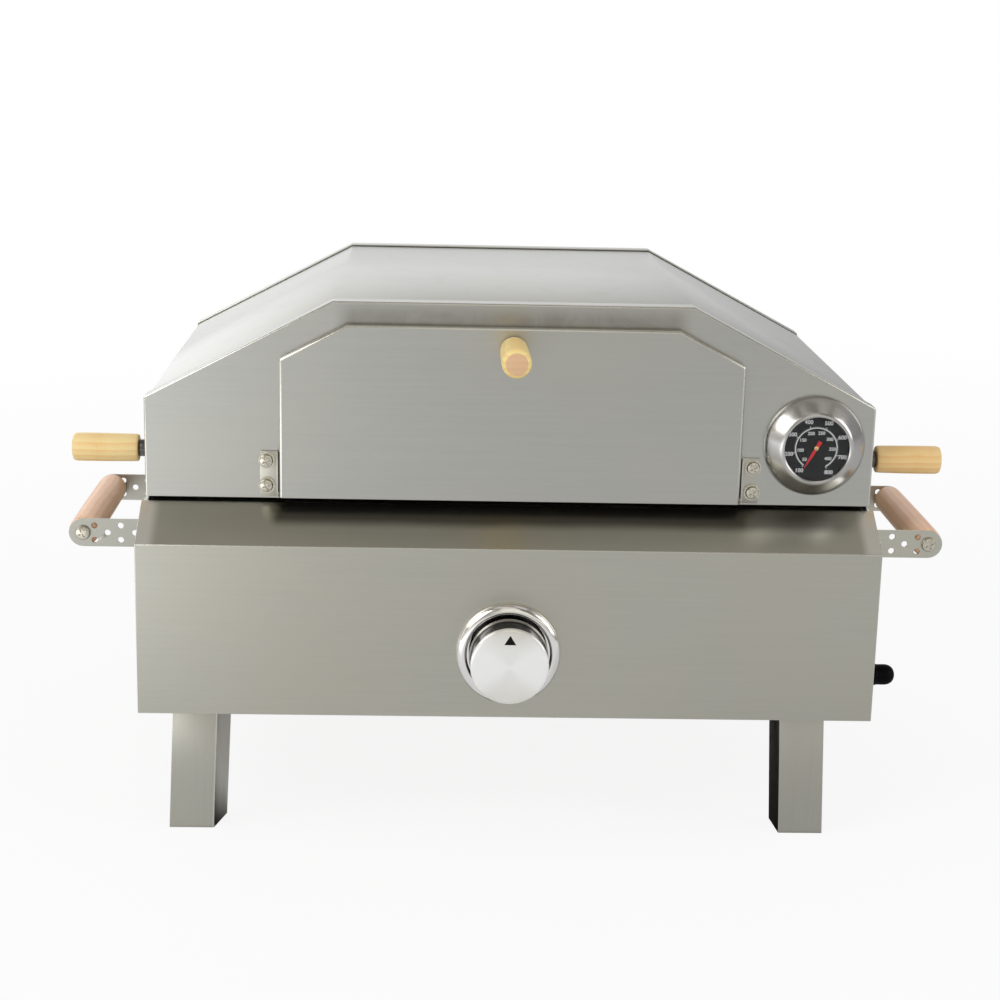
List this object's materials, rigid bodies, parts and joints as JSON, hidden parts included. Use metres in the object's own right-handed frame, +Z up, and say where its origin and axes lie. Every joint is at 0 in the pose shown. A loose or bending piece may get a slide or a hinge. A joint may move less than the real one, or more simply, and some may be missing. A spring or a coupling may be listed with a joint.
{
  "type": "tabletop propane pizza oven",
  "caption": "Tabletop propane pizza oven with a hinged faceted lid, drop-down door, push-and-turn knob, dial thermometer, wooden grips and pegs and folding legs.",
  "frame": {"origin": "on the ground, under the middle of the whole oven's bounding box", "axes": "+Z up; -Y is the front with the door and the knob; +X is the side with the thermometer and the gas inlet"},
  "size_m": [0.6496, 0.4307, 0.392],
  "materials": {
    "brushed_steel": "satin",
    "polished_steel": "polished",
    "plain_steel": "satin",
    "brass": "satin",
    "pine": "satin",
    "black_plastic": "gloss",
    "dial_paint": "matte",
    "needle_paint": "satin",
    "clear_glass": "polished",
    "cordierite": "matte",
    "white_ceramic": "gloss",
    "wire_cover": "matte"
  },
  "bodies": {
    "body": {"front_panel": "brushed_steel", "side_panel_left": "brushed_steel", "side_panel_right": "brushed_steel", "back_panel": "brushed_steel", "top_frame": "brushed_steel", "floor_pan": "plain_steel", "heat_shield": "plain_steel", "burner": "plain_steel", "burner_bracket_left": "plain_steel", "burner_bracket_right": "plain_steel", "air_shutter": "plain_steel", "gas_valve": "brass", "gas_jet": "brass", "manifold_pipe": "plain_steel", "inlet_fitting": "brass", "igniter_electrode": "white_ceramic", "igniter_wire": "wire_cover", "stone_rack": "plain_steel", "knob_bezel": "polished_steel", "leg_bracket_front_left": "plain_steel", "leg_bracket_front_right": "plain_steel", "leg_bracket_rear_left": "plain_steel", "leg_bracket_rear_right": "plain_steel", "carry_bracket_left": "brushed_steel", "carry_bracket_right": "brushed_steel", "carry_grip_left": "pine", "carry_grip_right": "pine", "carry_rod_left": "polished_steel", "carry_rod_right": "polished_steel", "hinge_leaf_body_left": "plain_steel", "hinge_leaf_body_right": "plain_steel"},
    "lid": {"lid_wrap": "brushed_steel", "lid_front_panel": "brushed_steel", "lid_back_panel": "brushed_steel", "hinge_leaf_lid_left": "plain_steel", "hinge_leaf_lid_right": "plain_steel", "lid_peg_left": "pine", "lid_peg_right": "pine", "lid_peg_bolt_left": "polished_steel", "lid_peg_bolt_right": "polished_steel", "thermometer_case": "polished_steel", "thermometer_dial": "dial_paint", "thermometer_glass": "clear_glass", "thermometer_nut": "plain_steel", "door_bracket_left": "polished_steel", "door_bracket_right": "polished_steel"},
    "door": {"door_panel": "brushed_steel", "door_peg": "pine", "door_peg_screw": "plain_steel"},
    "dial_needle": {"thermometer_needle": "needle_paint"},
    "push_ring": {"valve_push_ring": "plain_steel"},
    "knob": {"valve_stem": "brass", "control_knob": "polished_steel", "knob_skirt": "black_plastic"},
    "inlet_cap": {"inlet_cap": "black_plastic"},
    "stone": {"pizza_stone": "cordierite"},
    "leg_front_left": {"leg_front_left": "brushed_steel"},
    "leg_front_right": {"leg_front_right": "brushed_steel"},
    "leg_rear_left": {"leg_rear_left": "brushed_steel"},
    "leg_rear_right": {"leg_rear_right": "brushed_steel"}
  },
  "joints": [
    {"name": "lid_hinge", "type": "hinge", "parent": "body", "child": "lid", "pos_m": [0, 0.21215, 0.2435], "axis": [-1, 0, 0], "range_deg": [0, 90]},
    {"name": "door_hinge", "type": "hinge", "parent": "lid", "child": "door", "pos_m": [0, -0.14495, 0.2505], "axis": [1, 0, 0], "range_deg": [0, 90]},
    {"name": "needle_turn", "type": "hinge", "parent": "lid", "child": "dial_needle", "pos_m": [0.2225, -0.15185, 0.2918], "axis": [0, 1, 0], "range_deg": [0, 290]},
    {"name": "knob_push", "type": "slide", "parent": "body", "child": "push_ring", "axis": [0, 1, 0], "range_m": [0, 0.003], "stiffness_N_per_m": 800, "springref_m": -0.002},
    {"name": "knob_turn", "type": "hinge", "parent": "push_ring", "child": "knob", "pos_m": [0, -0.18135, 0.142], "axis": [0, -1, 0], "range_deg": [0, 135]},
    {"name": "cap_pull", "type": "slide", "parent": "body", "child": "inlet_cap", "axis": [1, 0, 0], "range_m": [0, 0.02]},
    {"name": "stone_lift", "type": "slide", "parent": "body", "child": "stone", "axis": [0, 0, 1], "range_m": [0, 0.03]},
    {"name": "leg_fold_front_left", "type": "hinge", "parent": "body", "child": "leg_front_left", "pos_m": [-0.2122, -0.16335, 0.106], "axis": [1, 0, 0], "range_deg": [0, 90]},
    {"name": "leg_fold_front_right", "type": "hinge", "parent": "body", "child": "leg_front_right", "pos_m": [0.203, -0.16335, 0.106], "axis": [1, 0, 0], "range_deg": [0, 90]},
    {"name": "leg_fold_rear_left", "type": "hinge", "parent": "body", "child": "leg_rear_left", "pos_m": [-0.2122, 0.19065, 0.106], "axis": [-1, 0, 0], "range_deg": [0, 90]},
    {"name": "leg_fold_rear_right", "type": "hinge", "parent": "body", "child": "leg_rear_right", "pos_m": [0.203, 0.19065, 0.106], "axis": [-1, 0, 0], "range_deg": [0, 90]}
  ]
}
